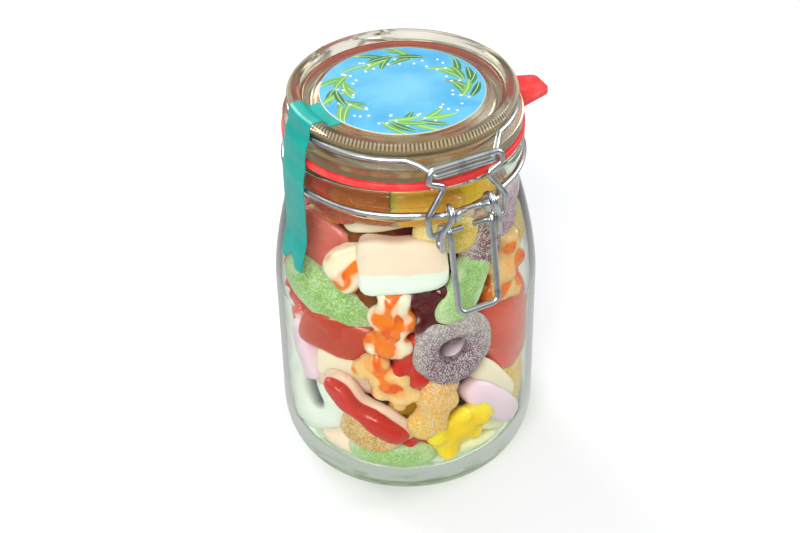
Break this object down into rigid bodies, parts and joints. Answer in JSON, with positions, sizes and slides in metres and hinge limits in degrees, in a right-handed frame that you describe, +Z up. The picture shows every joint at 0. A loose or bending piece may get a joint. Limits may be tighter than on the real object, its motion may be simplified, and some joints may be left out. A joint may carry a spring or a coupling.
{
  "type": "jar of gummy candy",
  "caption": "Clear glass preserving jar with a hinged glass lid, rubber seal and wire clasp, filled to the neck with mixed gummy sweets.",
  "frame": {"origin": "centre of the flat base, on the surface the jar stands on", "axes": "+Z up along the jar's axis; -Y towards the wire clasp; +Y towards the lid's hinge; +X towards the seal's pull tab; -X towards the paper ribbon"},
  "size_m": [0.1183, 0.1201, 0.1748],
  "materials": {
    "clear_glass": "clear pressed glass with a faint grey-green tint at its edges",
    "bright_wire": "bright zinc-plated round wire",
    "red_rubber": "satin red rubber",
    "sky_blue_paper": "coated paper with a plain leaf pattern",
    "teal_paper": "satin coated paper",
    "gummy_sweets": "mixed sweets: clear jelly, sugar-dusted jelly and white foam"
  },
  "bodies": {
    "jar": {"jar_glass": "clear_glass", "candy_heap": "gummy_sweets", "neck_wire": "bright_wire"},
    "lid": {"lid_glass": "clear_glass", "seal_ring": "red_rubber", "lid_wire": "bright_wire", "lid_label": "sky_blue_paper", "ribbon_sticker": "teal_paper"},
    "lever": {"lever": "bright_wire"},
    "clip": {"clip": "bright_wire"}
  },
  "joints": [
    {"name": "lid_hinge", "type": "hinge", "parent": "jar", "child": "lid", "pos_m": [0, 0.0535, 0.154], "axis": [-1, 0, 0], "range_deg": [0, 105]},
    {"name": "lever_swing", "type": "hinge", "parent": "jar", "child": "lever", "pos_m": [0, -0.0536, 0.1475], "axis": [-1, 0, 0], "range_deg": [0, 35.1]},
    {"name": "clip_swing", "type": "hinge", "parent": "lever", "child": "clip", "pos_m": [0, -0.052, 0.138], "axis": [1, 0, 0], "range_deg": [0, 155]}
  ],
  "couplings": [
    {"joint": "lever_swing", "follows": "lid_hinge", "ratio": 0.3333},
    {"joint": "clip_swing", "follows": "lid_hinge", "ratio": 1.476}
  ]
}
